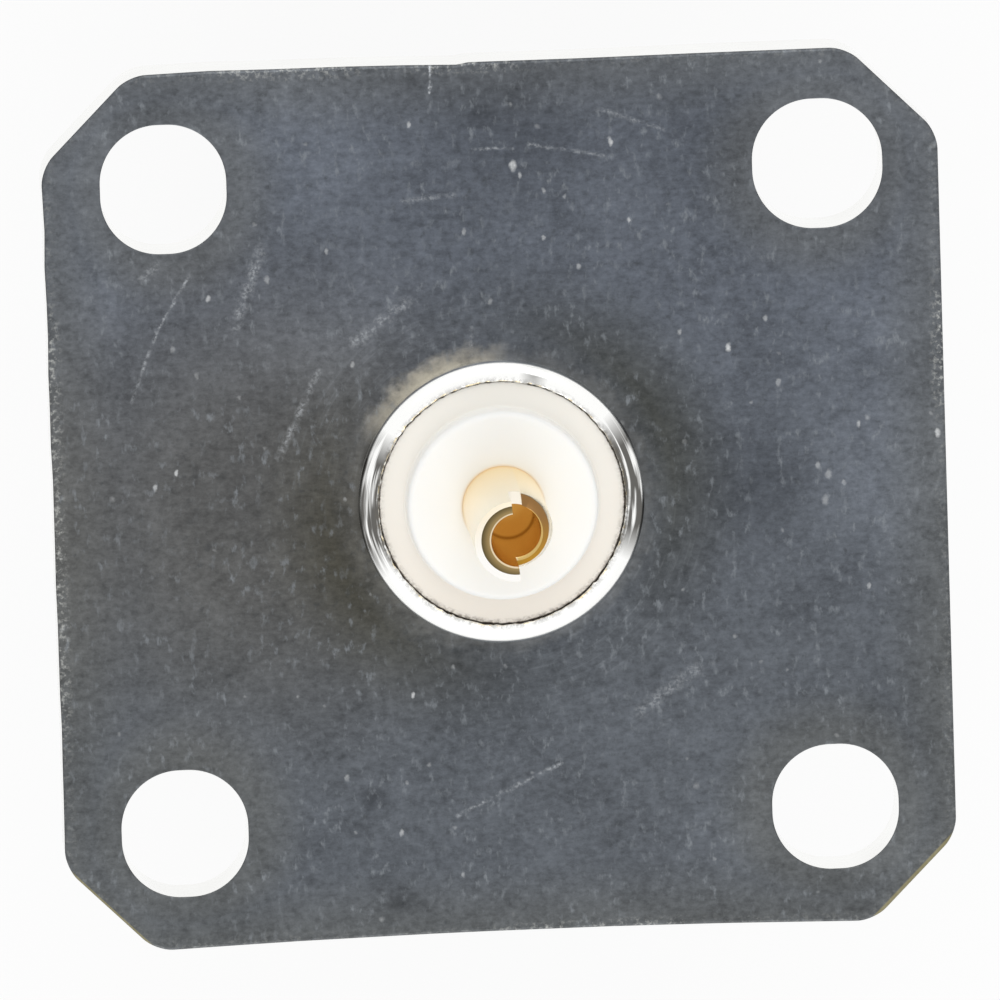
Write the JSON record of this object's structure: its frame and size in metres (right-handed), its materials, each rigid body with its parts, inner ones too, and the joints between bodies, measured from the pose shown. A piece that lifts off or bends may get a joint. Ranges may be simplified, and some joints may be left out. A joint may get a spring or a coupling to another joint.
{
  "type": "bnc panel jack",
  "caption": "Square-flange BNC panel jack: bayonet barrel in front, low rolled rim behind, PTFE insulators and a gold-plated centre contact that ends in a stepped solder cup.",
  "frame": {"origin": "centre of the fixing holes on the flange's rear face", "axes": "+Z out of the rear along the solder cup, X and Y along the flange's sides, the lugs on X"},
  "size_m": [0.0174, 0.0174, 0.0197],
  "materials": {
    "nickel_plated_brass": "dulled nickel plating, bright on the rolled rim",
    "ptfe": "turned PTFE",
    "gold_plated_brass": "gold plating"
  },
  "bodies": {
    "root": {"body": "nickel_plated_brass", "bayonet_lug_left": "nickel_plated_brass", "bayonet_lug_right": "nickel_plated_brass", "front_insulator": "ptfe", "rear_insulator": "ptfe", "centre_contact": "gold_plated_brass"}
  },
  "joints": []
}
